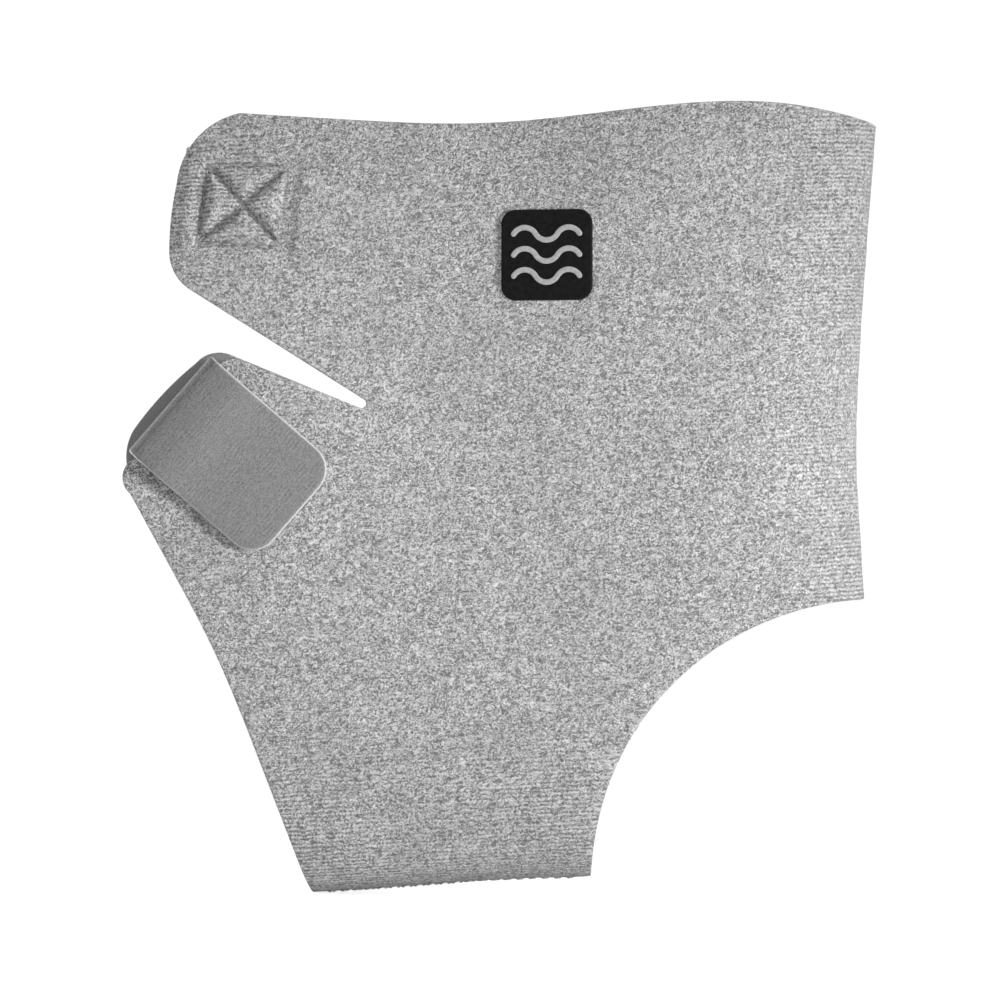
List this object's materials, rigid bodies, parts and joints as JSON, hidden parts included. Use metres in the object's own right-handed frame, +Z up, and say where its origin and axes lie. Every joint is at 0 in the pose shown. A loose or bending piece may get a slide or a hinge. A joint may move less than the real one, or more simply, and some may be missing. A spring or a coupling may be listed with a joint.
{
  "type": "cold compression ankle wrap",
  "caption": "Soft ankle sleeve with gel pads inside, open at heel and toes, closed in front by two hook-and-loop straps.",
  "frame": {"origin": "under the sole, at the middle of the wrap's length and in its middle plane, where the foot that wears it stands", "axes": "+Z up the leg, +X from the toes to the Achilles tendon, +Y from the medial (badge) side to the lateral side"},
  "size_m": [0.1795, 0.034, 0.1874],
  "materials": {
    "outer_knit": "unbroken-loop knit, heather grey",
    "lining": "smooth knit lining, mid grey",
    "foam": "closed-cell foam, black",
    "gel": "cold gel in a clear film",
    "strap_fabric": "brushed warp knit, grey",
    "hook": "moulded hooks",
    "badge_rubber": "matt",
    "motif_print": "matt raised print",
    "thread": "sewing thread"
  },
  "bodies": {
    "wrap": {"outer_cover": "outer_knit", "foam_core": "foam", "inner_lining": "lining", "medial_gel_pad": "gel", "lateral_gel_pad": "gel", "achilles_gel_pad": "gel", "badge": "badge_rubber", "badge_motif": "motif_print", "sole_seam_thread": "thread", "sole_seam_tape": "lining", "upper_strap_anchor": "strap_fabric", "upper_strap_stitching": "thread", "lower_strap_anchor": "strap_fabric", "lower_strap_stitching": "thread"},
    "upper_strap_fold_1": {"upper_strap_fold_1": "strap_fabric"},
    "upper_strap_fold_2": {"upper_strap_fold_2": "strap_fabric"},
    "upper_strap_fold_3": {"upper_strap_fold_3": "strap_fabric"},
    "upper_strap_end": {"upper_strap_free_end": "strap_fabric", "upper_strap_hook_patch": "hook"},
    "lower_strap_fold_1": {"lower_strap_fold_1": "strap_fabric"},
    "lower_strap_fold_2": {"lower_strap_fold_2": "strap_fabric"},
    "lower_strap_fold_3": {"lower_strap_fold_3": "strap_fabric"},
    "lower_strap_end": {"lower_strap_free_end": "strap_fabric", "lower_strap_hook_patch": "hook"}
  },
  "joints": [
    {"name": "upper_strap_peel_1", "type": "hinge", "parent": "wrap", "child": "upper_strap_fold_1", "pos_m": [-0.07338, -0.0007, 0.16448], "axis": [0.1305, 0, 0.9914], "range_deg": [0, 25]},
    {"name": "upper_strap_peel_2", "type": "hinge", "parent": "upper_strap_fold_1", "child": "upper_strap_fold_2", "pos_m": [-0.07677, 0.00128, 0.16493], "axis": [0.1305, 0, 0.9914], "range_deg": [0, 50]},
    {"name": "upper_strap_peel_3", "type": "hinge", "parent": "upper_strap_fold_2", "child": "upper_strap_fold_3", "pos_m": [-0.07677, 0.00522, 0.16493], "axis": [0.1305, 0, 0.9914], "range_deg": [0, 50]},
    {"name": "upper_strap_peel_4", "type": "hinge", "parent": "upper_strap_fold_3", "child": "upper_strap_end", "pos_m": [-0.07338, 0.0072, 0.16448], "axis": [0.1305, 0, 0.9914], "range_deg": [0, 25]},
    {"name": "lower_strap_peel_1", "type": "hinge", "parent": "wrap", "child": "lower_strap_fold_1", "pos_m": [-0.07612, 0.0007, 0.11406], "axis": [-0.6561, 0, -0.7547], "range_deg": [0, 25]},
    {"name": "lower_strap_peel_2", "type": "hinge", "parent": "lower_strap_fold_1", "child": "lower_strap_fold_2", "pos_m": [-0.0787, -0.00128, 0.1163], "axis": [-0.6561, 0, -0.7547], "range_deg": [0, 50]},
    {"name": "lower_strap_peel_3", "type": "hinge", "parent": "lower_strap_fold_2", "child": "lower_strap_fold_3", "pos_m": [-0.0787, -0.00522, 0.1163], "axis": [-0.6561, 0, -0.7547], "range_deg": [0, 50]},
    {"name": "lower_strap_peel_4", "type": "hinge", "parent": "lower_strap_fold_3", "child": "lower_strap_end", "pos_m": [-0.07612, -0.0072, 0.11406], "axis": [-0.6561, 0, -0.7547], "range_deg": [0, 25]}
  ],
  "couplings": [
    {"joint": "upper_strap_peel_2", "follows": "upper_strap_peel_1", "ratio": 2},
    {"joint": "upper_strap_peel_3", "follows": "upper_strap_peel_1", "ratio": 2},
    {"joint": "upper_strap_peel_4", "follows": "upper_strap_peel_1", "ratio": 1},
    {"joint": "lower_strap_peel_2", "follows": "lower_strap_peel_1", "ratio": 2},
    {"joint": "lower_strap_peel_3", "follows": "lower_strap_peel_1", "ratio": 2},
    {"joint": "lower_strap_peel_4", "follows": "lower_strap_peel_1", "ratio": 1}
  ]
}
